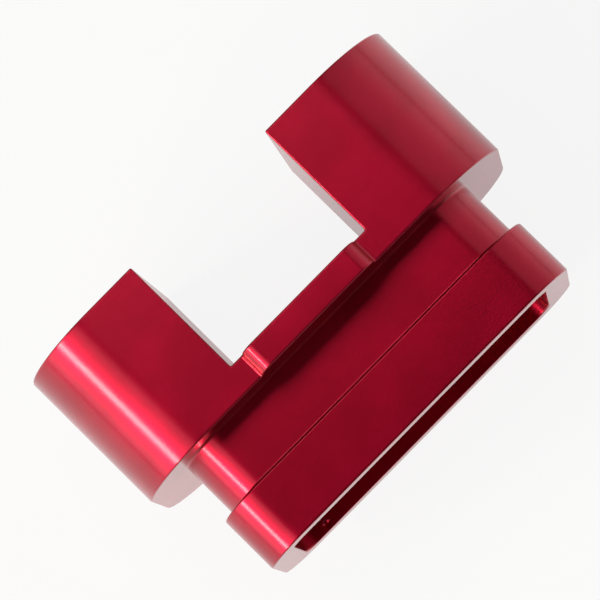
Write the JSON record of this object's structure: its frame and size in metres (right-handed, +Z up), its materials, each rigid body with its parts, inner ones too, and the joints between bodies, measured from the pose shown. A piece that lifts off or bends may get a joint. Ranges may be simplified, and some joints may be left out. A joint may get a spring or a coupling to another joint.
{
  "type": "machined fork block",
  "caption": "Fork-ended block milled from one billet: two lugs with a slot between them, a raised pad, a ledge, a neck and a flange with an oblong blind pocket.",
  "frame": {"origin": "bottom centre of the bounding box, in the plane of the block's rear face", "axes": "+X along the width, +Y along the block towards the lug tips, +Z up out of the front face, which carries the pad"},
  "size_m": [0.05, 0.0306, 0.0352],
  "materials": {
    "red_anodised": "fine-blasted, then dyed red and anodised to a satin gloss"
  },
  "bodies": {
    "root": {"fork_block": "red_anodised"}
  },
  "joints": []
}
